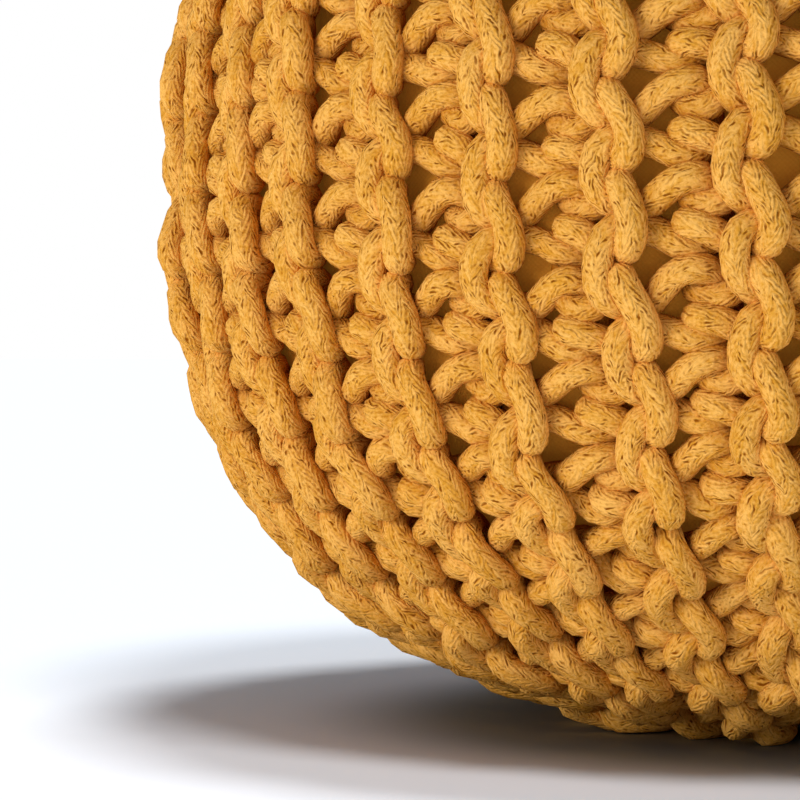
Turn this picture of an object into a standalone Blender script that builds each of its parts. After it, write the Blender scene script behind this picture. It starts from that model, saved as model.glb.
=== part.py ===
"""Round knitted pouf: a ridged cover of thick cotton cord over a filled cloth casing.

The cover is one strip of garter stitch. Its ridges run from pole to pole, shorter ones end on the
way to the poles, and both open ends are drawn together into a small gather.
Units are metres and +Z is up. The axis is Z, and the pouf stands on z = 0.
"""

import math

import bpy
import numpy as np

# Whole pouf
OUTER_RADIUS = 0.250  # axis to the crest of a ridge at the widest level
TOTAL_HEIGHT = 0.400
WIDEST_LEVEL = 0.203  # height of the widest level above the ground
RADIUS_POWER = 2.29  # roundness of the side: 2 is an ellipse, more is squarer
HEIGHT_POWER = 2.48
LOWER_REACH = 0.2103  # how far the round form would reach below the widest level, uncut
UPPER_REACH = TOTAL_HEIGHT - WIDEST_LEVEL

# Gathers at the poles
GATHER_RADIUS = 0.012  # small hole that the drawn-in ends leave
GATHER_SPREAD = 0.046  # radius within which the cover dips towards its gather
TOP_DIP = 0.013
BOTTOM_DIP = 0.011

# Ridges of the cover
RIDGES = 36
FAMILY = 4  # ridges repeat in fours: long, short, middling, short
RIDGE_DEPTH = 0.0125  # crest to valley at the widest level
POLE_RIDGE_DEPTH = 0.005  # crest to valley close to the gathers
FIRST_RIDGE_TURN = math.radians(-74.2)  # from the front, -Y, towards +X
RIDGE_LEAN = 0.224  # turn of a ridge for each metre of its run down the side
SHORT_ENDS = (0.135, 0.100, 0.088)  # radii where short ridges start to narrow, are half as wide, and end
MIDDLING_ENDS = (0.068, 0.050, 0.042)  # the same for the middling ridges
LEFT_SHARE = 0.2  # of its even share, the width that an ended ridge's trace keeps

# Cover and casing
COVER_THICKNESS = 0.0275  # crest to the inner face of the knit
CASING_GAP = 0.0004

# Fineness
COLUMNS_PER_RIDGE = 4
SIDE_ROWS = 21
UNDER_ROWS = 3
CASING_ROWS = 16
CASING_STEPS = 96
FINE_POINTS = 2400

CORD_COLOUR = (0.745, 0.360, 0.062, 1.0)
CASING_COLOUR = (0.420, 0.160, 0.018, 1.0)


def smooth_step(low, high, value):
    """0 below low, 1 above high, and an even S between them."""
    share = np.clip((value - low) / (high - low), 0.0, 1.0)
    return share * share * (3.0 - 2.0 * share)


def round_form(inset):
    """Radius and height of the plain round form, inset from the crests, from the top down to the bottom."""
    turn = np.linspace(math.pi / 2, -math.pi / 2, FINE_POINTS)
    radius = (OUTER_RADIUS - inset) * np.clip(np.cos(turn), 0.0, 1.0) ** (2 / RADIUS_POWER)
    rise = np.abs(np.sin(turn)) ** (2 / HEIGHT_POWER)
    reach = np.where(turn > 0, UPPER_REACH - inset, inset - LOWER_REACH)
    return radius, np.maximum(WIDEST_LEVEL + reach * rise, inset)


def dipped(radius, height):
    """The same line with the cover drawn in towards both gathers."""
    dip = np.clip(1.0 - (radius / GATHER_SPREAD) ** 2, 0.0, None) ** 2
    return np.where(height > WIDEST_LEVEL, height - TOP_DIP * dip, height + BOTTOM_DIP * dip)


def along(radius, height):
    """Distance run from the line's first point to each point."""
    return np.concatenate([[0.0], np.cumsum(np.hypot(np.diff(radius), np.diff(height)))])


def evenly(radius, height, count):
    """count points an equal run apart on the line."""
    run = along(radius, height)
    stops = np.linspace(0.0, run[-1], count)
    return np.interp(stops, run, radius), np.interp(stops, run, height)


def outward(radius, height):
    """Unit normal of the line at each point, pointing away from the pouf."""
    across, down = np.gradient(radius), np.gradient(height)
    length = np.hypot(across, down)
    return -down / length, across / length


def crest_line():
    """The cover's outer line between the rims of its gathers, with a row at each edge of its rest."""
    radius, height = round_form(0.0)
    rest = int(np.argmax((height <= 0.0) & (radius < OUTER_RADIUS)))
    height = dipped(radius, height)
    top = int(np.argmax(radius >= GATHER_RADIUS))
    dip = rest + int(np.argmax(radius[rest:] <= GATHER_SPREAD))
    rim = rest + int(np.argmax(radius[rest:] <= GATHER_RADIUS))
    side = evenly(radius[top : rest + 1], height[top : rest + 1], SIDE_ROWS)
    under = evenly(radius[dip : rim + 1], height[dip : rim + 1], UNDER_ROWS)
    return tuple(np.concatenate(parts) for parts in zip(side, under))


def casing_line():
    """The casing's line, from the axis above to the axis below."""
    radius, height = round_form(COVER_THICKNESS + CASING_GAP)
    return evenly(radius, height, CASING_ROWS)


def lining_line():
    """The cover's inner line: the casing's, a gap away, and cut off at the gathers."""
    radius, height = casing_line()
    side, up = outward(radius, height)
    radius, height = radius + CASING_GAP * side, height + CASING_GAP * up
    radius[[0, -1]] = GATHER_RADIUS
    return radius, height


def turned(name, radius, height, steps, closed):
    """Mesh of the line turned round Z. A closed line makes a ring, an open one ends on the axis."""
    mesh = bpy.data.meshes.new(name + "_line")
    points = [(r, 0.0, z) for r, z in zip(radius, height)]
    lines = [(i, i + 1) for i in range(len(points) - 1)]
    if closed:
        lines.append((len(points) - 1, 0))
    mesh.from_pydata(points, lines, [])
    profile = bpy.data.objects.new(name + "_profile", mesh)
    bpy.context.scene.collection.objects.link(profile)
    screw = profile.modifiers.new("turn", "SCREW")
    screw.steps = screw.render_steps = steps
    screw.use_merge_vertices = True
    screw.merge_threshold = 0.00005
    screw.use_normal_calculate = False
    graph = bpy.context.evaluated_depsgraph_get()
    result = bpy.data.meshes.new_from_object(profile.evaluated_get(graph))
    bpy.data.objects.remove(profile)
    bpy.data.meshes.remove(mesh)
    result.name = name
    return result


def ridge_shares(radius):
    """Widths of a long, a short and a middling ridge at this radius, in even shares of the round."""

    def narrowing(ends):
        start, half, end = ends
        to_half = 1.0 - 0.5 * (1.0 - smooth_step(half, start, radius))
        return np.where(radius > half, to_half, 0.5 * smooth_step(end, half, radius))

    short = np.maximum(narrowing(SHORT_ENDS), LEFT_SHARE)
    rest = FAMILY - 2 * short
    middling = np.maximum(rest / 2 * narrowing(MIDDLING_ENDS), LEFT_SHARE)
    return rest - middling, short, middling


def ridge_fades(radius):
    """How much of its depth a long, a short and a middling ridge still has at this radius."""
    short = smooth_step(SHORT_ENDS[2], SHORT_ENDS[1], radius)
    middling = smooth_step(MIDDLING_ENDS[2], MIDDLING_ENDS[1], radius)
    return np.ones_like(radius), short, middling


def ridge_depth(radius, height):
    """Crest to valley at each point: less towards the poles, and none where the pouf rests."""
    depth = POLE_RIDGE_DEPTH + (RIDGE_DEPTH - POLE_RIDGE_DEPTH) * smooth_step(0.03, 0.17, radius)
    resting = (height < WIDEST_LEVEL) & (radius > GATHER_SPREAD)
    return np.where(resting, depth * smooth_step(0.0, 0.012, height), depth)


def ridge_place(kind_index, shares):
    """Where a ridge starts and its width, in even shares from the middle of its family's long ridge."""
    long, short, middling = shares
    starts = (-long / 2, long / 2, long / 2 + short, long / 2 + short + middling)
    widths = (long, short, middling, short)
    return starts[kind_index], widths[kind_index]


def level_runs(radius, height):
    """Distance run down the line at each point, counted from the widest level."""
    run = along(radius, height)
    return run - np.interp(-WIDEST_LEVEL, -height, run)


def cover_mesh():
    """Turns the cover's ring-shaped section, then raises the ridges in the points of its outer face."""
    crest = crest_line()
    lining = lining_line()
    side, up = outward(*crest)
    fades = ridge_fades(crest[0])
    depth = ridge_depth(*crest)
    radius, height, run = (
        np.concatenate([outer, inner[::-1]])
        for outer, inner in zip((*crest, level_runs(*crest)), (*lining, level_runs(*lining)))
    )
    shares = ridge_shares(radius)
    columns = RIDGES * COLUMNS_PER_RIDGE
    mesh = turned("knitted_cover", radius, height, columns, True)

    for vertex in mesh.vertices:
        x, y, z = vertex.co
        row = int(np.argmin(np.hypot(math.hypot(x, y) - radius, z - height)))
        column = round(math.atan2(y, x) / (2 * math.pi) * columns) % columns
        ridge, part = divmod(column, COLUMNS_PER_RIDGE)
        family, kind_index = divmod(ridge, FAMILY)
        start, width = ridge_place(kind_index, [share[row] for share in shares])
        place = FAMILY * family + start + width * part / COLUMNS_PER_RIDGE
        turn = FIRST_RIDGE_TURN + 2 * math.pi / RIDGES * place + RIDGE_LEAN * run[row]
        out, level = radius[row], height[row]
        if row < len(crest[0]):
            swell = math.sin(math.pi * part / COLUMNS_PER_RIDGE)
            fade = fades[(0, 1, 2, 1)[kind_index]][row]
            sink = depth[row] * (1.0 - swell * fade)
            out -= sink * side[row]
            level -= sink * up[row]
        vertex.co = (out * math.sin(turn), -out * math.cos(turn), level)
    return mesh


def casing_mesh():
    """The filled casing: the round form inside the knit, closed on the axis."""
    return turned("filled_casing", *casing_line(), CASING_STEPS, False)


def material(name, colour, roughness):
    """A Principled material of one colour."""
    made = bpy.data.materials.new(name)
    made.use_nodes = True
    shader = made.node_tree.nodes["Principled BSDF"]
    shader.inputs["Base Color"].default_value = colour
    shader.inputs["Roughness"].default_value = roughness
    return made


def place(mesh, collection, finish):
    """Adds the mesh to the collection as an object of the same name, smooth but for sharp edges."""
    obj = bpy.data.objects.new(mesh.name, mesh)
    mesh.materials.clear()
    mesh.materials.append(finish)
    mesh.shade_smooth()
    mesh.set_sharp_from_angle(angle=math.radians(50))
    collection.objects.link(obj)
    return obj


def main():
    for obj in list(bpy.data.objects):
        bpy.data.objects.remove(obj)
    pouf = bpy.data.collections.new("knitted_pouf")
    bpy.context.scene.collection.children.link(pouf)
    place(cover_mesh(), pouf, material("cotton_cord", CORD_COLOUR, 0.9))
    place(casing_mesh(), pouf, material("casing_cloth", CASING_COLOUR, 0.95))


main()
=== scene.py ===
"""Looks of a round knitted pouf: garter stitch in thick braided cotton cord over a filled cloth casing.

Units are metres, +Z is up, the pouf's axis is Z and its front faces -Y. A turn is an angle about Z,
counted from the front towards +X. A run is a distance down the side, counted from the widest level.
"""

import logging
import math
from collections.abc import Iterable
from dataclasses import dataclass, field
from enum import Enum
from functools import partial

import bpy
import numpy as np
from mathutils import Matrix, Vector
from mathutils.kdtree import KDTree


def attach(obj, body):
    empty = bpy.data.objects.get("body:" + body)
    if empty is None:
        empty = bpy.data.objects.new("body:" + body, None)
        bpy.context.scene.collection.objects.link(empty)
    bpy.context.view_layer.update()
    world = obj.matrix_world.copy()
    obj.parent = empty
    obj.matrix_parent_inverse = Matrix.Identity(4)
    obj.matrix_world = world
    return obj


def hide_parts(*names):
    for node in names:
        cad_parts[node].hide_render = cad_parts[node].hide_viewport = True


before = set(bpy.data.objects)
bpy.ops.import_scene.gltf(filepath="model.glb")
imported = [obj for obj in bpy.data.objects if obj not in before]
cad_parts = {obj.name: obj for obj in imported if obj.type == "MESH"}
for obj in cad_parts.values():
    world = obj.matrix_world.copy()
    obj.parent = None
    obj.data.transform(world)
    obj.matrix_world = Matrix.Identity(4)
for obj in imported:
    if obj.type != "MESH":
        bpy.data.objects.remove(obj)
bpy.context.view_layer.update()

logging.basicConfig(level=logging.INFO, format="%(message)s")
LOG = logging.getLogger("pouf")
MM = 0.001
MATH = "ShaderNodeMath"


def smooth_step(low: float, high: float, value: np.ndarray) -> np.ndarray:
    """Gives an even S from 0 to 1.

    Args:
        low: Where the S starts.
        high: Where the S ends.
        value: The numbers to place on it.

    Returns:
        0 below low, 1 above high, and the S between them.
    """
    share = np.clip((value - low) / (high - low), 0.0, 1.0)
    return share * share * (3.0 - 2.0 * share)


def linear(code: str) -> tuple[float, float, float, float]:
    """Turns an sRGB hex colour into linear values.

    Args:
        code: The colour as RRGGBB.

    Returns:
        Linear red, green and blue, and full alpha.
    """
    shown = [int(code[i : i + 2], 16) / 255 for i in (0, 2, 4)]
    red, green, blue = (c / 12.92 if c <= 0.04045 else ((c + 0.055) / 1.055) ** 2.4 for c in shown)
    return red, green, blue, 1.0


def add_node(tree: bpy.types.NodeTree, kind: str, inputs: dict | list | None = None, **settings: str,
             ) -> bpy.types.bpy_prop_collection:
    """Adds a node.

    Args:
        tree: The tree that it goes in.
        kind: The node's type name.
        inputs: Its inputs in order, or by name or number: a socket is linked, and a value is set.
        **settings: Its settings by name.

    Returns:
        The node's outputs.
    """
    node = tree.nodes.new(kind)
    for name, value in settings.items():
        setattr(node, name, value)
    for name, value in inputs.items() if isinstance(inputs, dict) else enumerate(inputs or ()):
        if isinstance(value, bpy.types.NodeSocket):
            tree.links.new(value, node.inputs[name])
        else:
            node.inputs[name].default_value = value
    return node.outputs


def bare_tree(owner: bpy.types.Material | bpy.types.World) -> bpy.types.NodeTree:
    """Gives the node tree of a material or of the surroundings, emptied.

    Args:
        owner: The material or the surroundings.

    Returns:
        The tree.
    """
    owner.use_nodes = True
    owner.node_tree.nodes.clear()
    return owner.node_tree


def read_rows(items: bpy.types.bpy_prop_collection, name: str, width: int, kind: type = float) -> np.ndarray:
    """Reads a property of all of a mesh's points, corners, edges or normals.

    Args:
        items: What it is read of.
        name: The property's name.
        width: How many numbers it has.
        kind: The type of the numbers.

    Returns:
        A row of numbers for each item.
    """
    numbers = np.empty(len(items) * width, dtype=kind)
    items.foreach_get(name, numbers)
    return numbers.reshape(-1, width)


def select_only(piece: bpy.types.Object) -> None:
    """Selects one object and makes it the active one.

    Args:
        piece: The object.
    """
    bpy.ops.object.select_all(action="DESELECT")
    bpy.context.view_layer.objects.active = piece
    piece.select_set(True)


def hang(light: bpy.types.Light, place: Vector, back: Vector, lit: bpy.types.Collection) -> None:
    """Hangs a light.

    Args:
        light: The light.
        place: Where it hangs.
        back: The way that its back faces.
        lit: The objects that it lights. The others only shade them.
    """
    lamp = bpy.data.objects.new(light.name, light)
    bpy.context.scene.collection.objects.link(lamp)
    lamp.location = place
    lamp.rotation_euler = back.to_track_quat("Z", "Y").to_euler()
    lamp.light_linking.receiver_collection = lit


@dataclass(frozen=True)
class PoufForm:
    """The round form that the crests of the knit follow."""

    outer_radius: float = 0.250
    total_height: float = 0.400
    widest_level: float = 0.203
    radius_power: float = 2.29
    height_power: float = 2.48
    lower_reach: float = 0.2103
    gather_radius: float = 0.012
    gather_spread: float = 0.046
    top_dip: float = 0.013
    bottom_dip: float = 0.011
    fine_points: int = 2400

    def line(self) -> tuple[np.ndarray, np.ndarray]:
        """Gives the form's outline, from its top down to its bottom.

        Returns:
            Radius and height of its points.
        """
        turn = np.linspace(math.pi / 2, -math.pi / 2, self.fine_points)
        radius = self.outer_radius * np.clip(np.cos(turn), 0.0, 1.0) ** (2 / self.radius_power)
        rise = np.abs(np.sin(turn)) ** (2 / self.height_power)
        reach = np.where(turn > 0, self.total_height - self.widest_level, -self.lower_reach)
        return radius, np.maximum(self.widest_level + reach * rise, 0.0)

    def side(self) -> "SideLine":
        """Keeps what lies between the rims of the two gathers, and lowers it into them.

        Returns:
            The line that the crests of the ridges follow.
        """
        radius, height = self.line()
        dip = np.clip(1.0 - (radius / self.gather_spread) ** 2, 0.0, None) ** 2
        sunk = np.where(height > self.widest_level, -self.top_dip, self.bottom_dip)
        kept = radius >= self.gather_radius
        return SideLine(radius[kept], (height + sunk * dip)[kept], self.widest_level)


class SideLine:
    """A line from the top gather to the bottom one, read by the run along it."""

    def __init__(self, radius: np.ndarray, height: np.ndarray, widest_level: float, ease: int = 41) -> None:
        """Measures the line.

        Args:
            radius: Distance of each point from the axis.
            height: Height of each point.
            widest_level: Height at which the run is 0.
            ease: How many points each outward direction is averaged over.
        """
        steps = np.hypot(np.diff(radius), np.diff(height))
        run = np.concatenate([[0.0], np.cumsum(steps)])
        self.run = run - np.interp(-widest_level, -height, run)
        self.radius = radius
        self.height = height
        kernel = np.hanning(ease + 2)[1:-1] / np.hanning(ease + 2).sum()
        slopes = [np.pad(np.gradient(way), ease // 2, mode="edge") for way in (radius, height)]
        across, down = (np.convolve(slope, kernel, "valid") for slope in slopes)
        self.side = -down / np.hypot(across, down)
        self.up = across / np.hypot(across, down)

    def at(self, run: np.ndarray) -> tuple[np.ndarray, ...]:
        """Reads the line.

        Args:
            run: Where to read it.

        Returns:
            Radius, height, and the outward direction's two parts, for each run.
        """
        tables = (self.radius, self.height, self.side, self.up)
        return tuple(np.interp(run, self.run, table) for table in tables)


class RidgeKind(Enum):
    """How far towards the two gathers a ridge runs."""

    LONG = 0
    SHORT = 1
    MIDDLING = 2


class Course(Enum):
    """The two courses of cord that make a ridge, seen from outside."""

    LEFT = 0
    RIGHT = 1


@dataclass(frozen=True)
class RidgeLayout:
    """Where the ridges lie round the pouf, how wide each one is, and how far it runs."""

    ridges: int = 36
    family: tuple[RidgeKind, ...] = (RidgeKind.LONG, RidgeKind.SHORT, RidgeKind.MIDDLING, RidgeKind.SHORT)
    first_turn: float = math.radians(-75.85)
    lean: float = 0.394
    lean_reach: float = 0.0788
    upright_run: float = -0.0342
    short_ends: tuple[float, float, float] = (0.135, 0.100, 0.088)
    middling_ends: tuple[float, float, float] = (0.068, 0.050, 0.042)
    left_share: float = 0.2
    long_stop: float = 0.022

    def kind(self, ridge: int) -> RidgeKind:
        """The kind of a ridge by its number."""
        return self.family[ridge % len(self.family)]

    def stop(self, ridge: int) -> float:
        """Finds where a ridge ends.

        Args:
            ridge: Its number.

        Returns:
            The distance from the axis.
        """
        stops = {RidgeKind.LONG: self.long_stop, RidgeKind.SHORT: self.short_ends[1],
                 RidgeKind.MIDDLING: self.middling_ends[1]}
        return stops[self.kind(ridge)]

    def shares(self, radius: np.ndarray) -> tuple[np.ndarray, np.ndarray, np.ndarray]:
        """Widths of the three kinds of ridge.

        Args:
            radius: Distances from the axis.

        Returns:
            The width of a long, a short and a middling ridge, in even shares of the round.
        """

        def narrowing(ends: tuple[float, float, float]) -> np.ndarray:
            """How much of its width a ridge keeps.

            Args:
                ends: The radii at which it starts to narrow, is half as wide and ends.

            Returns:
                The share at each distance from the axis.
            """
            start, half, end = ends
            to_half = 1.0 - 0.5 * (1.0 - smooth_step(half, start, radius))
            return np.where(radius > half, to_half, 0.5 * smooth_step(end, half, radius))

        short = np.maximum(narrowing(self.short_ends), self.left_share)
        rest = len(self.family) - 2.0 * short
        middling = np.maximum(rest / 2.0 * narrowing(self.middling_ends), self.left_share)
        return rest - middling, short, middling

    def place(self, ridge: int, radius: np.ndarray, run: np.ndarray) -> tuple[np.ndarray, np.ndarray]:
        """Where a ridge's middle lies and how wide it is.

        Args:
            ridge: Its number.
            radius: Distances from the axis.
            run: The runs that go with them.

        Returns:
            The turn of its middle, and its width as a turn.
        """
        long, short, middling = self.shares(radius)
        even = 2.0 * math.pi / self.ridges
        beside = long / 2 + short / 2
        middles = (0.0 * long, beside, beside + short / 2 + middling / 2, len(self.family) - beside)
        widths = (long, short, middling, short)
        member = ridge % len(self.family)
        middle = ridge - member + middles[member]
        leaned = self.lean * self.lean_reach * np.tanh((run - self.upright_run) / self.lean_reach)
        return self.first_turn + even * middle + leaned, even * widths[member]


@dataclass(frozen=True)
class Waypoint:
    """One point on a loop of a course, in millimetres from the middle of the course."""

    across: float
    along: float
    out: float


@dataclass(frozen=True)
class GarterStitch:
    """One stitch of the knit, in millimetres: its sizes, and the cord's way through each course of a ridge.

    Each loop has two legs, an arc that shows on the ridge's crest and one that hides in the valley. The arcs
    of the two courses hold each other, and of the legs that cross in a valley the upper one lies on top.
    """

    pitch: float = 28.2
    course_spacing: float = 21.8
    cord: float = 9.8
    squeeze: float = 0.80
    points: int = 72
    settle_steps: int = 160
    push_share: float = 0.5
    own_part: float = 0.5
    smoothing: float = 0.04
    pull_home: tuple[float, float, float] = (0.10, 0.10, 0.02)
    steps_to_each_spread: int = 10
    own_reach: float = 0.14
    least_narrowing: float = 0.35
    points_to_each_waypoint: int = 16
    left_way: tuple[Waypoint, ...] = (
        Waypoint(-9.6, 4.0, -2.8),
        Waypoint(-5.4, 6.0, -1.6),
        Waypoint(-1.2, 6.0, -1.2),
        Waypoint(3.0, 2.8, -1.1),
        Waypoint(6.6, -1.8, 0.5),
        Waypoint(9.4, -3.6, 3.4),
        Waypoint(12.0, -1.2, 6.1),
        Waypoint(14.6, 3.6, 6.9),
        Waypoint(16.8, 9.4, 6.1),
        Waypoint(16.4, 14.6, 4.5),
        Waypoint(13.0, 18.6, 2.7),
        Waypoint(8.4, 19.4, 0.9),
        Waypoint(4.0, 17.8, 0.3),
        Waypoint(-0.2, 15.4, 0.8),
        Waypoint(-4.0, 13.2, 1.9),
        Waypoint(-8.2, 12.0, 2.2),
        Waypoint(-11.4, 13.2, -1.2),
        Waypoint(-13.0, 17.2, -6.1),
        Waypoint(-13.4, 22.4, -7.3),
        Waypoint(-12.8, 28.2, -6.2),
    )
    right_way: tuple[Waypoint, ...] = (
        Waypoint(18.5, 19.0, -5.1),
        Waypoint(14.0, 18.6, -2.7),
        Waypoint(9.7, 17.8, -0.9),
        Waypoint(5.0, 16.4, -0.6),
        Waypoint(0.6, 14.8, -0.8),
        Waypoint(-4.0, 12.8, -0.6),
        Waypoint(-7.8, 11.2, 0.5),
        Waypoint(-10.8, 11.2, 3.0),
        Waypoint(-13.8, 13.2, 5.6),
        Waypoint(-16.6, 17.2, 6.4),
        Waypoint(-17.4, 22.6, 5.2),
        Waypoint(-16.4, 28.4, 3.2),
        Waypoint(-13.8, 33.4, 1.4),
        Waypoint(-9.4, 36.2, 0.0),
        Waypoint(-4.4, 35.2, -0.4),
        Waypoint(0.6, 31.8, 0.3),
        Waypoint(5.0, 28.6, 1.1),
        Waypoint(9.7, 26.0, 1.7),
        Waypoint(14.5, 25.0, 1.2),
        Waypoint(18.2, 26.2, -1.1),
        Waypoint(20.0, 30.6, -4.8),
        Waypoint(20.2, 35.6, -6.7),
        Waypoint(20.0, 41.2, -6.6),
    )

    @property
    def period(self) -> np.ndarray:
        """The step from one stitch to the next."""
        return np.array([0.0, self.pitch, 0.0])

    def loops(self, width: float) -> np.ndarray:
        """Settles the two courses' cords against each other at a width of the knit.

        Args:
            width: Width of a course, as a share of its spacing at the widest level.

        Returns:
            For each course, points on one loop an equal length of cord apart: across, along and out.
        """
        ways = np.stack([self._rounded(way, width) for way in (self.left_way, self.right_way)])
        homes = ways.copy()
        for step in range(self.settle_steps):
            pushes = [self._push(ways[i], ways[1 - i], width * self.course_spacing) for i in (0, 1)]
            ways = ways + self.push_share * np.stack(pushes)
            ends = np.concatenate([ways[:, -2:] - self.period, ways, ways[:, :2] + self.period], axis=1)
            bend = ends[:, :-2] - 2.0 * ends[:, 1:-1] + ends[:, 2:]
            ways = ways - self.smoothing * (bend[:, :-2] - 2.0 * bend[:, 1:-1] + bend[:, 2:])
            ways = ways + (homes - ways) * self.pull_home
            if (step + 1) % self.steps_to_each_spread == 0:
                both = [self._spread(np.hstack([ways[i], homes[i]])) for i in (0, 1)]
                ways, homes = np.stack(both)[:, :, :3], np.stack(both)[:, :, 3:]
        return ways

    def _rounded(self, way: tuple[Waypoint, ...], width: float) -> np.ndarray:
        """Rounds a course's way with a Catmull-Rom curve, narrowed with its course.

        Args:
            way: The waypoints.
            width: Width of a course, as a share of its spacing at the widest level.

        Returns:
            The way's points, an equal length apart.
        """
        narrowed = self.least_narrowing + (1.0 - self.least_narrowing) * width
        corners = np.array([(point.across * narrowed, point.along, point.out) for point in way])
        ring = np.vstack([corners[-1:] - self.period, corners, corners[:2] + self.period])
        share = np.linspace(0.0, 1.0, self.points_to_each_waypoint, endpoint=False)[:, None]
        pieces = []
        for a, b, c, d in zip(ring[:-3], ring[1:-2], ring[2:-1], ring[3:]):
            bow = (2 * a - 5 * b + 4 * c - d) * share**2 + (3 * b - a - 3 * c + d) * share**3
            pieces.append(0.5 * (2 * b + (c - a) * share + bow))
        return self._spread(np.vstack(pieces))

    def _spread(self, points: np.ndarray) -> np.ndarray:
        """Spaces a way's points evenly.

        Args:
            points: A row for each point. The first three columns give the length, and any others follow.

        Returns:
            As many points as a loop has, in the same columns.
        """
        step = np.tile(self.period, points.shape[1] // 3)
        ring = np.vstack([points, points[:1] + step])
        length = np.concatenate([[0.0], np.cumsum(np.linalg.norm(np.diff(ring[:, :3], axis=0), axis=1))])
        stops = np.linspace(0.0, length[-1], self.points, endpoint=False)
        return np.stack([np.interp(stops, length, ring[:, i]) for i in range(ring.shape[1])], axis=1)

    def _push(self, own: np.ndarray, other: np.ndarray, spacing: float) -> np.ndarray:
        """How far each point of a way is pushed by the cords that it would otherwise run into.

        Args:
            own: The way's points.
            other: The points of the other course of a ridge.
            spacing: Distance from a course's middle to the next one's.

        Returns:
            The push on each point.
        """
        thick = self.squeeze * self.cord
        order = np.arange(len(own))
        push = np.zeros_like(own)
        for shift in (-2, -1, 0, 1, 2):
            for side in (-spacing, 0.0, spacing):
                near = (other if side else own) + shift * self.period + [side, 0.0, 0.0]
                gap = own[:, None, :] - near[None, :, :]
                distance = np.linalg.norm(gap, axis=2) + 1e-9
                touching = distance < thick
                if not side:
                    apart = np.abs(order[:, None] - order - shift * len(own))
                    touching &= apart > self.own_reach * len(own)
                share = np.where(touching, (thick - distance) / distance, 0.0)
                each = (gap * share[:, :, None]).sum(1) / np.maximum(1, touching.sum(1))[:, None]
                push += self.own_part * each
        return push


@dataclass(frozen=True)
class Unevenness:
    """How hand knitting wanders: a soft wave in every direction, so cords that touch move together."""

    seed: int = 11
    waves: int = 40
    shortest: float = 0.045
    longest: float = 0.130
    reach: float = 0.0012

    def moved(self, points: np.ndarray) -> np.ndarray:
        """Moves points by the waves.

        Args:
            points: Points in space.

        Returns:
            The points, each moved by about the reach.
        """
        chance = np.random.default_rng(self.seed)
        ways = chance.normal(size=(self.waves, 3))
        ways /= np.linalg.norm(ways, axis=1)[:, None]
        lengths = chance.uniform(self.shortest, self.longest, self.waves)
        starts = chance.uniform(0.0, 2.0 * math.pi, self.waves)
        moves = chance.normal(size=(self.waves, 3)) * self.reach / math.sqrt(self.waves / 2)
        waves = np.sin(points @ (ways * 2.0 * math.pi / lengths[:, None]).T + starts)
        return points + waves @ moves


@dataclass(frozen=True)
class Slip:
    """How many stitches the rows have slipped down at a turn in degrees: hand knitting is never level."""

    turn: float
    stitches: float


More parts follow.
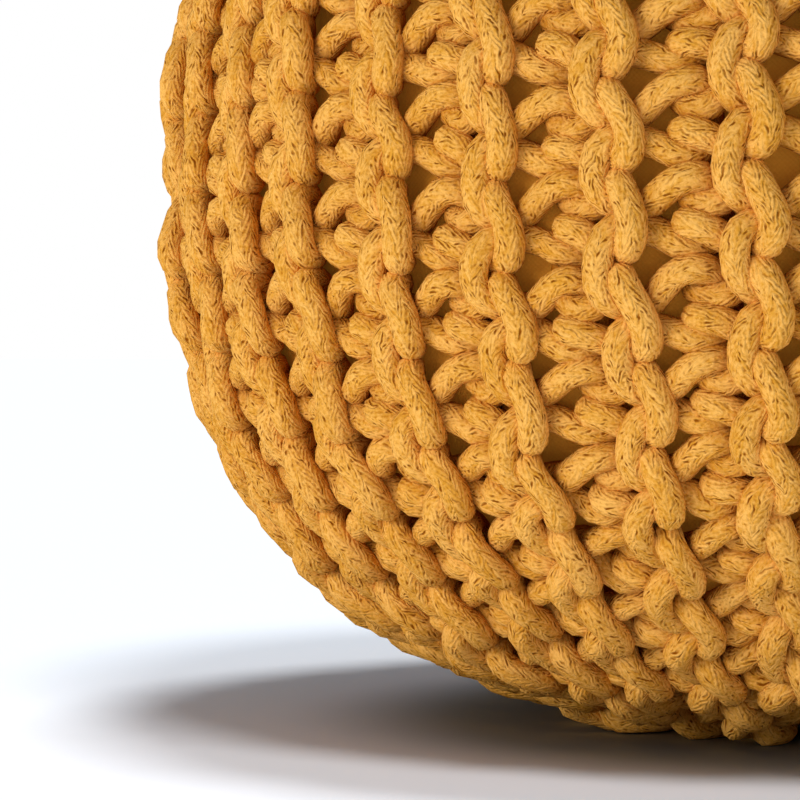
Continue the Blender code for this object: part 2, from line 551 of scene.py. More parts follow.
@dataclass
class Knit:
    """The garter stitch laid on the pouf: it gives the path of each ridge's cord."""

    form: PoufForm = field(default_factory=PoufForm)
    layout: RidgeLayout = field(default_factory=RidgeLayout)
    stitch: GarterStitch = field(default_factory=GarterStitch)
    unevenness: tuple[Unevenness, ...] = (
        Unevenness(),
        Unevenness(seed=23, waves=60, shortest=0.026, longest=0.050, reach=0.0006),
    )
    first_stitch_run: float = 0.0141
    pitch_stretch: float = 1.041
    pitch_growth: float = 0.706
    longest_pitch: float = 1.3
    crest_depth: float = 0.0124
    gather_ease: tuple[float, float] = (0.050, 0.145)
    slips: tuple[Slip, ...] = (
        Slip(-60.0, 0.0),
        Slip(-45.0, 0.02),
        Slip(-25.5, 0.03),
        Slip(-15.5, 0.08),
        Slip(-5.5, -0.16),
        Slip(8.0, -0.12),
        Slip(30.0, 0.0),
    )
    widths: tuple[float, ...] = (0.30, 0.50, 0.75, 1.02)
    rest_height: float = 0.0052
    turn_points: int = 24
    turn_pull: float = 16.0
    run_points: int = 2000
    end_slack: float = 0.02
    least_radius: float = 0.02

    def __post_init__(self) -> None:
        """Settles the stitch at each width, and spaces the stitches down the side."""
        self.side = self.form.side()
        self.loops = np.stack([self.stitch.loops(width) for width in self.widths])
        self.run = np.linspace(self.side.run[0], self.side.run[-1], self.run_points)
        self.radius = self.side.at(self.run)[0]
        growth = 1.0 + self.pitch_growth * (1.0 - self.radius / self.form.outer_radius)
        pitch = self.stitch.pitch * MM * self.pitch_stretch * np.minimum(growth, self.longest_pitch)
        count = np.concatenate([[0.0], np.cumsum(np.diff(self.run) * 2.0 / (pitch[:-1] + pitch[1:]))])
        self.count = self._eased(count - np.interp(self.first_stitch_run, self.run, count))

    def cord(self, ridge: int) -> tuple[np.ndarray, np.ndarray]:
        """Finds the closed path of a ridge's cord: down its left course and back up its right one.

        Args:
            ridge: The ridge's number.

        Returns:
            The path's points in space, and how far each lies out from the middle of the knit, in millimetres.
        """
        left = self._course(ridge, Course.LEFT)
        right = self._course(ridge, Course.RIGHT)[::-1]
        local = np.vstack([left, self._turned(left, right), right, self._turned(right, left)])
        return self._laid(ridge, local), local[:, 2]

    def stitches(self, ridge: int) -> int:
        """How many stitches a ridge has."""
        first, last = self._ends(ridge)
        return last - first

    def _eased(self, count: np.ndarray) -> np.ndarray:
        """Stretches the stitches near both gathers a little, so that the long ridges end with a whole stitch.

        Args:
            count: Number of stitches down to each run.

        Returns:
            The number with the stitches near the gathers stretched.
        """
        near = 1.0 - smooth_step(*self.gather_ease, self.radius)
        kept = np.flatnonzero(self.radius >= self.layout.long_stop)
        for edge, half in ((kept[0], self.run < 0.0), (kept[-1], self.run >= 0.0)):
            count = count + np.where(half, (round(count[edge]) - count[edge]) * near, 0.0)
        return count

    def _ends(self, ridge: int) -> tuple[int, int]:
        """The numbers of a ridge's first stitch and of the one after its last."""
        kept = self.count[self.radius >= self.layout.stop(ridge)]
        return math.ceil(kept[0] - self.end_slack), math.floor(kept[-1] + self.end_slack)

    def _course(self, ridge: int, course: Course) -> np.ndarray:
        """Lays out one course of a ridge on the flat.

        Args:
            ridge: The ridge's number.
            course: Which of its courses.

        Returns:
            Points from the top down: across from the ridge's middle, along, and out, in millimetres.
        """
        first, last = self._ends(ridge)
        points = self.stitch.points
        index = np.arange((last - first) * points)
        run = np.interp(first + index / points, self.count, self.run)
        radius = self.side.at(run)[0]
        width = self.layout.place(ridge, radius, run)[1] * radius / (2.0 * self.stitch.course_spacing * MM)
        width = np.clip(width, self.widths[0], self.widths[-1] - 1e-6)
        level = np.interp(width, self.widths, np.arange(len(self.widths)))
        low = level.astype(int)
        share = (level - low)[:, None]
        loops = self.loops[:, course.value]
        local = loops[low, index % points] * (1.0 - share) + loops[low + 1, index % points] * share
        middle = width * self.stitch.course_spacing / 2.0 * (-1.0 if course is Course.LEFT else 1.0)
        along = local[:, 1] + (first + index // points) * self.stitch.pitch
        return np.stack([local[:, 0] + middle, along, local[:, 2]], axis=1)

    def _turned(self, before: np.ndarray, after: np.ndarray) -> np.ndarray:
        """Joins two courses at a ridge's end with a turn, as where a knitter turns the work.

        Args:
            before: The course that the turn follows.
            after: The course that it leads into.

        Returns:
            The turn's points.
        """
        leave = (before[-1] - before[-4]) / np.linalg.norm(before[-1] - before[-4]) * self.turn_pull
        arrive = (after[3] - after[0]) / np.linalg.norm(after[3] - after[0]) * self.turn_pull
        t = np.linspace(0.0, 1.0, self.turn_points + 2)[1:-1, None]
        return ((2 * t**3 - 3 * t**2 + 1) * before[-1] + (t**3 - 2 * t**2 + t) * leave
                + (3 * t**2 - 2 * t**3) * after[0] + (t**3 - t**2) * arrive)

    def _laid(self, ridge: int, local: np.ndarray) -> np.ndarray:
        """Lays points of a ridge's flat layout on the pouf, and rests the lowest ones on the floor.

        Args:
            ridge: The ridge's number.
            local: The points: across, along and out, in millimetres.

        Returns:
            The points in space.
        """
        level = local[:, 1] / self.stitch.pitch
        turn = self._turn(ridge, local, np.interp(level, self.count, self.run))
        turns, stitches = zip(*((slip.turn, slip.stitches) for slip in self.slips))
        level = level + np.interp(np.degrees(turn), turns, stitches, period=360.0)
        run = np.interp(level, self.count, self.run)
        turn = self._turn(ridge, local, run)
        radius, height, side, up = self.side.at(run)
        out = local[:, 2] * MM - self.crest_depth
        radius, height = radius + out * side, height + out * up
        points = np.stack([radius * np.sin(turn), -radius * np.cos(turn), height], axis=1)
        for unevenness in self.unevenness:
            points = unevenness.moved(points)
        points[:, 2] = np.maximum(points[:, 2], self.rest_height)
        return points

    def _turn(self, ridge: int, local: np.ndarray, run: np.ndarray) -> np.ndarray:
        """Finds how far round the pouf points of a ridge's flat layout lie.

        Args:
            ridge: The ridge's number.
            local: The points: across, along and out, in millimetres.
            run: The run of each.

        Returns:
            Each point's turn.
        """
        radius = self.side.at(run)[0]
        aside = local[:, 0] * MM / np.maximum(radius, self.least_radius)
        return self.layout.place(ridge, radius, run)[0] + aside


@dataclass
class ClosedCord:
    """A closed cord as one mesh, with a UV map in turns round the cord and metres along it."""

    name: str
    path: np.ndarray
    out: np.ndarray
    diameter: float
    points: int
    bend_share: float = 0.020
    weight_reach: int = 3
    hidden_share: float = 0.55
    hidden_out: float = -3.2
    crest_gain: float = 0.025
    lumps: float = 0.03
    lump_waves: int = 12
    lumps_to_each_point: tuple[float, float] = (0.02, 0.13)
    seed: int = 5
    bevel_resolution: int = 3
    heart: tuple[float, float, float] = (0.0, 0.0, 0.2)
    valley_to_crest: tuple[float, float] = (-7.0, 7.0)

    def build(self) -> bpy.types.Object:
        """Bevels a curve along the path and makes it a mesh.

        Returns:
            The cord's object.
        """
        rings = self._thinned()
        curve = bpy.data.curves.new(self.name, "CURVE")
        curve.dimensions = "3D"
        curve.bevel_depth = self.diameter / 2
        curve.bevel_resolution = self.bevel_resolution
        spline = curve.splines.new("POLY")
        spline.points.add(len(rings) - 1)
        spline.points.foreach_set("co", np.hstack([rings[:, :3], np.ones((len(rings), 1))]).ravel())
        proud = np.clip(rings[:, 3] / self.valley_to_crest[1], -1.0, 1.0)
        spline.points.foreach_set("radius", 1.0 + self.crest_gain * proud + self._lumpy(len(rings)))
        spline.use_cyclic_u = True
        piece = bpy.data.objects.new(self.name, curve)
        bpy.context.scene.collection.objects.link(piece)
        select_only(piece)
        bpy.ops.object.convert(target="MESH")
        piece = bpy.context.view_layer.objects.active
        piece.data.shade_smooth()
        self._measure(piece.data, rings[:, :3])
        self._expose(piece.data, rings)
        return piece

    def _thinned(self) -> np.ndarray:
        """Keeps as many points as asked: more where the cord bends, fewer where it is hidden.

        Returns:
            Place and outness of each point.
        """
        ring = np.vstack([np.column_stack([self.path, self.out]), [*self.path[0], self.out[0]]])
        step = np.diff(ring[:, :3], axis=0)
        length = np.linalg.norm(step, axis=1)
        way = step / length[:, None]
        bend = np.linalg.norm(way - np.roll(way, 1, axis=0), axis=1) / length
        weight = (1.0 + self.bend_share * bend) * np.where(self.out < self.hidden_out, self.hidden_share, 1.0)
        reach = self.weight_reach
        kernel = np.full(2 * reach + 1, 1 / (2 * reach + 1))
        weight = np.convolve(np.pad(weight, reach, mode="wrap"), kernel, "valid")
        done = np.concatenate([[0.0], np.cumsum(weight * length)])
        stops = np.linspace(0.0, done[-1], self.points, endpoint=False)
        return np.stack([np.interp(stops, done, ring[:, i]) for i in range(4)], axis=1)

    def _lumpy(self, count: int) -> np.ndarray:
        """Makes the cord a little uneven, as a hand braided one is.

        Args:
            count: Number of points along it.

        Returns:
            How much thicker or thinner it is at each point than its diameter, as a share of it.
        """
        chance = np.random.default_rng(self.seed)
        low, high = (round(share * count) for share in self.lumps_to_each_point)
        cycles = chance.integers(low, high, (self.lump_waves, 1))
        starts = chance.random((self.lump_waves, 1))
        waves = np.sin(2.0 * math.pi * (cycles * np.arange(count) / count + starts))
        return waves.sum(axis=0) * self.lumps / math.sqrt(self.lump_waves / 2)

    def _measure(self, mesh: bpy.types.Mesh, rings: np.ndarray) -> None:
        """Turns the UV map that the bevel gave into turns round the cord and metres along it.

        Args:
            mesh: The cord's mesh.
            rings: Middles of its rings.
        """
        steps = np.linalg.norm(np.diff(np.vstack([rings, rings[:1]]), axis=0), axis=1)
        metres = np.concatenate([[0.0], np.cumsum(steps)])
        layer = mesh.uv_layers[0]
        given, turned = read_rows(layer.uv, "vector", 2).T
        along = metres[np.rint(given * len(rings)).astype(int)]
        layer.uv.foreach_set("vector", np.column_stack([turned, along]).ravel())

    def _expose(self, mesh: bpy.types.Mesh, rings: np.ndarray) -> None:
        """Writes how openly each point lies: 0 deep in a valley of the knit, and 1 on a crest. The finish
        paints shade by it.

        Args:
            mesh: The cord's mesh.
            rings: Middle and outness of each of its rings.
        """
        places = read_rows(mesh.vertices, "co", 3).reshape(len(rings), -1, 3)
        outward = rings[:, :3] - self.heart
        outward /= np.linalg.norm(outward, axis=1)[:, None]
        proud = ((places - rings[:, None, :3]) * outward[:, None]).sum(axis=2) / MM + rings[:, 3:]
        layer = mesh.attributes.new("unshaded_share", "FLOAT", "POINT")
        layer.data.foreach_set("value", smooth_step(*self.valley_to_crest, proud).ravel())


@dataclass(frozen=True)
class BraidedCotton:
    """Finish of the cord: dyed cotton yarns, braided round a core.

    The yarns are soft and matt, and lean one way and then the other in columns round the cord, so the eye
    sees rows of small slanted leaves that meet in Vs, with a short dark gap of painted shade
    where two yarns part.
    """

    name: str = "braided_cotton"
    body: str = "F3B55A"
    tinge: str = "D7942E"
    # Painted shade for the knit's valleys.
    painted_valley_shade: str = "A65A00"
    # Painted shade for the low parts between yarns and fibres.
    gap: str = "A45A02"
    # Painted shade for the partings between yarns, the darkest of the three.
    painted_parting_shade: str = "884602"
    columns: int = 10
    diameter: float = 9.8
    yarn: float = 1.4
    slant: float = math.radians(25.0)
    #: How far a yarn wanders round the cord, in columns, and along it, in yarns.
    wander: tuple[float, float] = (0.9, 1.4)
    #: How much further along the yarns of each next column start, in yarns.
    column_shift: float = 0.37
    #: How many fibres and gaps lie across a yarn, how long they are in millimetres, and their detail.
    fibres: tuple[float, float, float] = (2.4, 1.7, 2.0)
    partings: tuple[float, float, float] = (0.6, 2.2, 1.0)
    columns_apart: float = 7.3
    #: Sizes of the wandering, the fuzz and the patches of dye, in millimetres.
    wander_size: float = 5.0
    fuzz_size: float = 1.3
    patch_size: float = 22.0
    #: A yarn's height at the edges of its column and how much higher it is between them, and what
    #: fibres and fuzz add to it. The relief, in millimetres, is the depth of a height of 1.
    edge_height: float = 0.35
    crown_height: float = 0.45
    fibre_height: float = 0.3
    fuzz_height: float = 1.5
    parted_height: float = -0.5
    relief: float = 0.32
    #: How much yarns, fibres, fuzz and patches of a stitch or two differ in tone.
    yarn_tone: float = 0.35
    fibre_tone: float = 0.5
    fuzz_tone: float = 1.2
    patch_tone: float = 0.5
    #: Over which values tones turn from tinge to body and heights from painted gap shade to yarn, and yarns
    #: part.
    tones: tuple[float, float] = (0.25, 1.05)
    heights: tuple[float, float] = (-0.75, 0.25)
    parted_swell: tuple[float, float] = (0.8, 0.1)
    parted_noise: tuple[float, float] = (0.5, 0.74)

    def material(self) -> bpy.types.Material:
        """Makes the material.

        Returns:
            The material.
        """
        material = bpy.data.materials.new(self.name)
        add = partial(add_node, bare_tree(material))
        column_width = math.pi * self.diameter / self.columns
        spacing = self.yarn / math.sin(self.slant)
        advance = column_width / math.tan(self.slant) / spacing

        def lying(across_yarn: float, millimetres: float, detail: float) -> bpy.types.NodeSocket:
            """Adds noise that is stretched along the yarns.

            Args:
                across_yarn: How many of its lumps lie across a yarn.
                millimetres: How long a lump is.
                detail: How much finer noise it holds.

            Returns:
                The noise.
            """
            stretched = add("ShaderNodeCombineXYZ", [
                add(MATH, [phase, across_yarn], operation="MULTIPLY")[0],
                add(MATH, [parts[1], 1 / (millimetres * MM)], operation="MULTIPLY")[0],
                add(MATH, [column, self.columns_apart], operation="MULTIPLY")[0]])
            return add("ShaderNodeTexNoise", {"Vector": stretched[0], "Scale": 1.0, "Detail": detail})["Fac"]

        parts = add("ShaderNodeSeparateXYZ", [add("ShaderNodeUVMap")[0]])
        place = add("ShaderNodeTexCoord")["Object"]
        # Yarns wander by a part of their width over a few millimetres.
        drift = add("ShaderNodeSeparateXYZ", [add("ShaderNodeTexNoise", {
            "Vector": place, "Scale": 1 / (self.wander_size * MM), "Detail": 2.0})["Color"]])
        wide, far = self.wander
        aside = add(MATH, [drift[0], wide, -wide / 2], operation="MULTIPLY_ADD")[0]
        ahead = add(MATH, [drift[1], far, -far / 2], operation="MULTIPLY_ADD")[0]
        around = add(MATH, [parts[0], self.columns, aside], operation="MULTIPLY_ADD")[0]
        along = add(MATH, [parts[1], 1 / (spacing * MM), ahead], operation="MULTIPLY_ADD")[0]
        column = add(MATH, [around], operation="FLOOR")[0]
        across = add(MATH, [around, column], operation="SUBTRACT")[0]
        odd = add(MATH, [column, 2.0], operation="FLOORED_MODULO")[0]
        side = add(MATH, [odd, 2.0, -1.0], operation="MULTIPLY_ADD")[0]
        rise = add(MATH, [across, advance, -advance / 2], operation="MULTIPLY_ADD")[0]
        lean = add(MATH, [side, rise], operation="MULTIPLY")[0]
        leaned = add(MATH, [along, lean], operation="ADD")[0]
        shift = add(MATH, [column, self.column_shift], operation="MULTIPLY")[0]
        phase = add(MATH, [leaned, shift], operation="ADD")[0]
        # A yarn is round across its width, and dips under its neighbours at both edges of its column.
        angle = add(MATH, [phase, 2.0 * math.pi], operation="MULTIPLY")[0]
        wave = add(MATH, [angle], operation="COSINE")[0]
        swell = add(MATH, [wave, -0.5, 0.5], operation="MULTIPLY_ADD")[0]
        off = add(MATH, [across, 2.0, -1.0], operation="MULTIPLY_ADD")[0]
        off = add(MATH, [off], operation="ABSOLUTE")[0]
        dip = add(MATH, [off, 2.0], operation="POWER")[0]
        end = add(MATH, [1.0, dip], operation="SUBTRACT")[0]
        # Fibres lie along the yarns, a few to a yarn, and gaps between yarns are longer than they are wide.
        fibre = lying(*self.fibres)
        parting = lying(*self.partings)
        fuzz, patch = (
            add("ShaderNodeTexNoise", {"Vector": place, "Scale": 1 / (size * MM), "Detail": detail})["Fac"]
            for size, detail in ((self.fuzz_size, 3.0), (self.patch_size, 1.0)))
        fuzzy = add(MATH, [fuzz, self.fuzz_height, -0.6 * self.fuzz_height], operation="MULTIPLY_ADD")[0]
        rough = add(MATH, [fibre, self.fibre_height, fuzzy], operation="MULTIPLY_ADD")[0]
        crown = add(MATH, [end, self.crown_height, self.edge_height], operation="MULTIPLY_ADD")[0]
        height = add(MATH, [swell, crown, rough], operation="MULTIPLY_ADD")[0]
        # Each yarn took the dye a little differently, and so did each patch of a stitch or two.
        number = add(MATH, [phase], operation="FLOOR")[0]
        yarn = add("ShaderNodeCombineXYZ", [number, column])[0]
        shade = add("ShaderNodeTexWhiteNoise", {"Vector": yarn}, noise_dimensions="2D")["Value"]
        frayed = add(MATH, [fibre, self.fibre_tone], operation="MULTIPLY")[0]
        dyed_yarn = add(MATH, [shade, self.yarn_tone, frayed], operation="MULTIPLY_ADD")[0]
        pale = add(MATH, [fuzz, self.fuzz_tone, -0.5 * self.fuzz_tone], operation="MULTIPLY_ADD")[0]
        dyed_patch = add(MATH, [patch, self.patch_tone, pale], operation="MULTIPLY_ADD")[0]
        worn = add(MATH, [dyed_yarn, dyed_patch], operation="ADD")[0]
        # Painted shade: deep in the knit's valleys the colour turns darker and more saturated, and the crests
        # keep the plain dye.
        unshaded_share = add("ShaderNodeAttribute", attribute_name="unshaded_share")["Fac"]
        faded, raised, narrow, open_gap = (
            add("ShaderNodeMapRange", [value, *ends], interpolation_type="SMOOTHSTEP")[0]
            for value, ends in (
                (worn, self.tones), (height, self.heights),
                (swell, self.parted_swell), (parting, self.parted_noise)))
        parted = add(MATH, [narrow, open_gap], operation="MULTIPLY")[0]
        dyed = add("ShaderNodeMix", {0: faded, 6: linear(self.tinge), 7: linear(self.body)}, data_type="RGBA")
        # Painted shade: the colour turns deeper in the knit's valleys.
        dyed = add("ShaderNodeMix", {0: unshaded_share, 6: linear(self.painted_valley_shade), 7: dyed[2]}, data_type="RGBA")
        # Painted shade: the low parts between yarns and fibres turn dark, and so do the partings between
        # yarns.
        shown = add("ShaderNodeMix", {0: raised, 6: linear(self.gap), 7: dyed[2]}, data_type="RGBA")
        shown = add("ShaderNodeMix", {0: parted, 6: shown[2], 7: linear(self.painted_parting_shade)}, data_type="RGBA")
        sunk = add(MATH, [parted, self.parted_height, height], operation="MULTIPLY_ADD")[0]
        bump = add("ShaderNodeBump", {"Strength": 1.0, "Distance": self.relief * MM, "Height": sunk})[0]
        shader = add("ShaderNodeBsdfPrincipled", {
            "Base Color": shown[2], "Roughness": 1.0, "Specular IOR Level": 0.03, "Sheen Weight": 0.06,
            "Sheen Roughness": 0.6, "Sheen Tint": linear(self.body), "Normal": bump})[0]
        add("ShaderNodeOutputMaterial", [shader])
        return material


@dataclass(frozen=True)
class WovenCotton:
    """Finish of the casing: plain woven cotton dyed like the cord, a matt cloth with a fine even grain."""

    name: str = "woven_cotton"
    body: str = "F4A436"
    # Painted shade for the weave's low points.
    gap: str = "EE9E32"
    radius: float = 0.222
    #: Threads are about 0.5 mm apart, and are drawn a little coarser, or the render wouldn't show them.
    thread: float = 0.8
    relief: float = 0.1
    #: Light bounces in the cover's gaps more often than the render follows, so a little painted light is
    #: added: the cloth glows faintly in its own colour.
    glow: float = 0.05

    def material(self) -> bpy.types.Material:
        """Makes the material.

        Returns:
            The material.
        """
        material = bpy.data.materials.new(self.name)
        add = partial(add_node, bare_tree(material))
        parts = add("ShaderNodeSeparateXYZ", [add("ShaderNodeTexCoord")["Object"]])
        turn = add(MATH, [parts[0], parts[1]], operation="ARCTAN2")[0]
        turn = add(MATH, [turn, math.pi * self.radius / (self.thread * MM)], operation="MULTIPLY")[0]
        rise = add(MATH, [parts[2], math.pi / (self.thread * MM)], operation="MULTIPLY")[0]
        warp = add(MATH, [turn], operation="SINE")[0]
        weft = add(MATH, [rise], operation="SINE")[0]
        crossing = add(MATH, [warp, weft], operation="MULTIPLY")[0]
        height = add(MATH, [crossing, 0.5, 0.5], operation="MULTIPLY_ADD")[0]
        # Painted shade: where the weave is low, the cloth takes the darker gap colour.
        ends = {0: height, 6: linear(self.gap), 7: linear(self.body)}
        shown = add("ShaderNodeMix", ends, data_type="RGBA")[2]
        bump = add("ShaderNodeBump", {"Distance": self.relief * MM, "Height": height})[0]
        shader = add("ShaderNodeBsdfPrincipled", {
            "Base Color": shown, "Roughness": 0.95, "Specular IOR Level": 0.1,
            "Emission Color": linear(self.body), "Emission Strength": self.glow, "Normal": bump})[0]
        add("ShaderNodeOutputMaterial", [shader])
        return material


@dataclass
class KnittedCover:
    """The cover: a closed cord for each ridge, knitted in two courses that hold each other."""

    knit: Knit = field(default_factory=Knit)
    finish: BraidedCotton = field(default_factory=BraidedCotton)
    points_per_stitch: int = 27

    def build(self) -> tuple[list[bpy.types.Object], np.ndarray]:
        """Builds and dresses the ridges' cords, which stand for the cover's solid.

        Returns:
            The cords' objects, and points along them all.
        """
        material = self.finish.material()
        ridges = []
        paths = []
        for ridge in range(self.knit.layout.ridges):
            path, out = self.knit.cord(ridge)
            cord = ClosedCord(f"cover_ridge_{ridge + 1:02d}", path, out, self.knit.stitch.cord * MM,
                              (2 * self.knit.stitches(ridge) + 1) * self.points_per_stitch, seed=ridge)
            piece = cord.build()
            piece.data.materials.append(material)
            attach(piece, "root")
            ridges.append(piece)
            paths.append(path)
            stitches = 2 * self.knit.stitches(ridge)
            LOG.info("%s: %d stitches, %d faces", piece.name, stitches, len(piece.data.polygons))
        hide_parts("knitted_cover")
        return ridges, np.vstack(paths)


@dataclass
class FilledCasing:
    """The filled cloth casing under the knit, swollen a little by its filling."""

    node: str = "filled_casing"
    finish: WovenCotton = field(default_factory=WovenCotton)
    voxel: float = 0.008
    pressure: float = 400.0
    stiffness: float = 1.0
    last_frame: int = 20
    fill: float = 0.9
    most_swell: float = 0.010
    cord_hold: float = 0.0046
    ease_rounds: int = 3
    ease_share: float = 0.5

    def build(self, cords: np.ndarray) -> bpy.types.Object:
        """Swells a copy of the casing's solid by a cloth simulation, presses the cords in, and dresses it.

        Args:
            cords: Points along the cover's cords.

        Returns:
            The casing.
        """
        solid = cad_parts[self.node]
        piece = bpy.data.objects.new("casing_cloth", solid.data.copy())
        bpy.context.scene.collection.objects.link(piece)
        select_only(piece)
        remesh = piece.modifiers.new("even", "REMESH")
        remesh.mode = "VOXEL"
        remesh.voxel_size = self.voxel
        bpy.ops.object.modifier_apply(modifier=remesh.name)
        self._swell(piece)
        rounding = piece.modifiers.new("rounding", "SUBSURF")
        rounding.levels = rounding.render_levels = 1
        bpy.ops.object.modifier_apply(modifier=rounding.name)
        self._press(piece.data, cords)
        piece.data.shade_smooth()
        piece.data.materials.clear()
        piece.data.materials.append(self.finish.material())
        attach(piece, "root")
        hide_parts(self.node)
        LOG.info("%s: %d faces", piece.name, len(piece.data.polygons))
        return piece

    def _swell(self, piece: bpy.types.Object) -> None:
        """Lets pressure push the cloth out, and caps how far each point has moved.

        Args:
            piece: The casing, which is changed.
        """
        rest = read_rows(piece.data.vertices, "co", 3)
        cloth = piece.modifiers.new("cloth", "CLOTH")
        cloth.settings.use_pressure = True
        cloth.settings.uniform_pressure_force = self.pressure
        cloth.settings.tension_stiffness = cloth.settings.shear_stiffness = self.stiffness
        cloth.settings.effector_weights.gravity = 0.0
        cloth.point_cache.frame_start = 1
        cloth.point_cache.frame_end = self.last_frame
        for number in range(1, self.last_frame + 1):
            bpy.context.scene.frame_set(number)
        bpy.ops.object.modifier_apply(modifier=cloth.name)
        bpy.context.scene.frame_set(1)
        move = read_rows(piece.data.vertices, "co", 3) - rest
        length = np.linalg.norm(move, axis=1)[:, None] + 1e-12
        LOG.info("pressure moves the casing by %.1f mm on average, of which up to %.1f mm are kept",
                 length.mean() / MM, self.most_swell / MM)
        capped = rest + move * np.minimum(1.0, self.most_swell / length)
        piece.data.vertices.foreach_set("co", capped.ravel())
        piece.data.update()

    def _press(self, mesh: bpy.types.Mesh, cords: np.ndarray) -> None:
        """Keeps the cloth under the cords, so that it bulges only where the knit leaves it free.

        Args:
            mesh: The casing's mesh, which is changed.
            cords: Points along the cover's cords.
        """
        tree = KDTree(len(cords))
        for index, point in enumerate(cords):
            tree.insert(point, index)
        tree.balance()
        places = read_rows(mesh.vertices, "co", 3)
        normals = read_rows(mesh.vertex_normals, "vector", 3)
        limit = np.zeros(len(places))
        for index, (place, normal) in enumerate(zip(places, normals)):
            near = [found[1] for found in tree.find_range(place, self.most_swell + self.cord_hold)]
            offset = cords[near] - place
            above = offset @ normal
            beside = (offset**2).sum(axis=1) - above**2
            under = beside < self.cord_hold**2
            if under.any():
                limit[index] = min(0.0, (above[under] - np.sqrt(self.cord_hold**2 - beside[under])).min())
        edges = read_rows(mesh.edges, "vertices", 2, int)
        first, second = edges.T
        count = np.bincount(edges.ravel(), minlength=len(places))
        eased = limit
        for _ in range(self.ease_rounds):
            total = np.bincount(first, eased[second], len(places))
            total += np.bincount(second, eased[first], len(places))
            around = self.ease_share * total / count
            eased = np.minimum(limit, (1.0 - self.ease_share) * eased + around)
        mesh.vertices.foreach_set("co", (places + normals * eased[:, None]).ravel())
        mesh.update()


@dataclass(frozen=True)
class SoftLight:
    """A square soft light: where it stands, how wide it is and how strong."""

    name: str
    place: tuple[float, float, float]
    size: float
    power: float

    def build(self, lit: bpy.types.Collection, aim: Vector) -> None:
        """Adds the light.

        Args:
            lit: The objects that it lights.
            aim: The point that it faces.
        """
        light = bpy.data.lights.new(self.name, "AREA")
        light.size = self.size
        light.energy = self.power
        hang(light, Vector(self.place), Vector(self.place) - aim, lit)


@dataclass(frozen=True)
class FarLight:
    """A far light: its height and turn in the sky, how wide it looks, in degrees, and how strong it is."""

    name: str
    height: float
    turn: float
    width: float
    strength: float

    def build(self, lit: bpy.types.Collection) -> None:
        """Adds the light.

        Args:
            lit: The objects that it lights.
        """
        light = bpy.data.lights.new(self.name, "SUN")
        light.energy = self.strength
        light.angle = math.radians(self.width)
        height, turn = math.radians(self.height), math.radians(self.turn)
        level = math.cos(height)
        way = Vector((level * math.sin(turn), -level * math.cos(turn), math.sin(height)))
        hang(light, Vector(), way, lit)


@dataclass(frozen=True)
class MattPaper:
    """Finish of the studio's floor: white paper, with a painted shadow that makes it darker round the pouf,
    as the photograph's is.

    A faint blue fill, painted light that the paper glows with everywhere but close round the pouf, keeps the
    shadow grey where the ochre cord throws its own light on it.
    """

    name: str = "matt_paper"
    body: str = "E6EBF2"
    # Painted shadow: its colour close round the pouf, and the distances from the axis over which it turns
    # into the paper's white.
    painted_shadow: str = "A8B4BE"
    painted_shadow_reach: tuple[float, float] = (0.13, 0.21)
    # Painted light: the faint blue that the paper glows with.
    fill: str = "002E44"
    grain: float = 2.0
    relief: float = 0.1

    def material(self) -> bpy.types.Material:
        """Makes the material.

        Returns:
            The material.
        """
        material = bpy.data.materials.new(self.name)
        add = partial(add_node, bare_tree(material))
        place = add("ShaderNodeTexCoord")["Object"]
        away = add("ShaderNodeVectorMath", [place], operation="LENGTH")["Value"]
        # Painted shadow: near the axis the paper turns darker.
        share = add("ShaderNodeMapRange", [away, *self.painted_shadow_reach], interpolation_type="SMOOTHSTEP")[0]
        ends = {0: share, 6: linear(self.painted_shadow), 7: linear(self.body)}
        shade = add("ShaderNodeMix", ends, data_type="RGBA")[2]
        grain = add("ShaderNodeTexNoise", {"Vector": place, "Scale": 1 / (self.grain * MM)})["Fac"]
        bump = add("ShaderNodeBump", {"Strength": 0.05, "Distance": self.relief * MM, "Height": grain})[0]
        # Painted light: the paper glows the faint blue fill wherever the painted shadow fades out.
        shader = add("ShaderNodeBsdfPrincipled", {
            "Base Color": shade, "Roughness": 1.0, "Specular IOR Level": 0.0,
            "Emission Color": linear(self.fill), "Emission Strength": share, "Normal": bump})[0]
        add("ShaderNodeOutputMaterial", [shader])
        return material


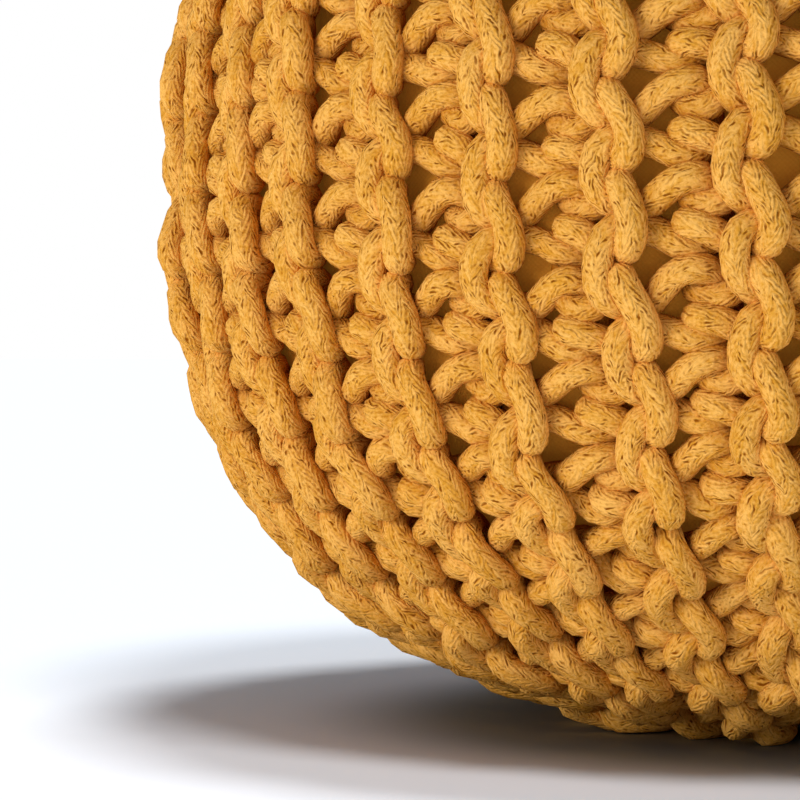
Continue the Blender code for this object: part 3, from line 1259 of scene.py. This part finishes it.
@dataclass
class Studio:
    """A plain white floor, soft light and the photograph's camera."""

    floor_size: float = 40.0
    paper: MattPaper = field(default_factory=MattPaper)
    front_lights: tuple[SoftLight, ...] = (
        SoftLight("front_left", (-1.5, -1.61, 0.35), 1.2, 34.0),
        SoftLight("front_right", (1.3, -1.7, 0.35), 1.3, 3.5),
    )
    far_lights: tuple[FarLight, ...] = (
        FarLight("overhead", 82.0, 111.0, 14.0, 1.88),
        FarLight("high_front", 58.0, 27.0, 16.0, 1.50),
    )
    aim: tuple[float, float, float] = (0.0, 0.0, 0.16)
    focal_pixels: float = 3133.0
    image_pixels: float = 800.0
    sensor_width: float = 36.0
    eye: tuple[float, float, float] = (0.0, -1.1982, 0.1441)
    pitch: float = math.radians(-1.129)
    yaw: float = math.radians(7.706)
    sky: float = 0.25

    def build(self, pieces: Iterable[bpy.types.Object]) -> None:
        """Sets the studio up round the pieces.

        Args:
            pieces: What the front lights light.
        """
        lit = bpy.data.collections.new("lit_by_front_lights")
        for piece in pieces:
            lit.objects.link(piece)
        bare = bpy.data.collections.new("lit_by_far_lights")
        bare.objects.link(self._floor())
        for light in self.front_lights:
            light.build(lit, Vector(self.aim))
        for far in self.far_lights:
            far.build(bare)
        self._sky()
        self._camera()

    def _floor(self) -> bpy.types.Object:
        """Lays a wide matt white floor.

        Returns:
            The floor.
        """
        bpy.ops.mesh.primitive_plane_add(size=self.floor_size)
        floor = bpy.context.active_object
        floor.name = "studio_floor"
        floor.data.materials.append(self.paper.material())
        return floor

    def _sky(self) -> None:
        """White surroundings: they show as pure white, and light the pouf softly from all round."""
        world = bpy.data.worlds.new("white_surroundings")
        bpy.context.scene.world = world
        add = partial(add_node, bare_tree(world))
        seen = add("ShaderNodeLightPath")["Is Camera Ray"]
        strength = add("ShaderNodeMapRange", {0: seen, 3: self.sky, 4: 1.0})[0]
        white = add("ShaderNodeBackground", {"Color": (1.0, 1.0, 1.0, 1.0), "Strength": strength})[0]
        add("ShaderNodeOutputWorld", [white])

    def _camera(self) -> None:
        """The camera stands where the photograph's did, with its crop of the pouf's lower left."""
        camera = bpy.data.cameras.new("camera")
        camera.sensor_width = self.sensor_width
        camera.lens = self.focal_pixels * self.sensor_width / self.image_pixels
        eye = bpy.data.objects.new("camera", camera)
        bpy.context.scene.collection.objects.link(eye)
        eye.location = self.eye
        eye.rotation_euler = (math.radians(90.0) + self.pitch, 0.0, self.yaw)
        bpy.context.scene.camera = eye
        bpy.context.scene.view_settings.view_transform = "Standard"


def main() -> None:
    """Builds the cover, the casing and the studio in order."""
    cover, cords = KnittedCover().build()
    casing = FilledCasing().build(cords)
    faces = sum(len(polygon.vertices) - 2 for piece in (*cover, casing) for polygon in piece.data.polygons)
    LOG.info("pieces: %d, triangles: %d", len(cover) + 1, faces)
    Studio().build([*cover, casing])


if __name__ == "__main__":
    main()
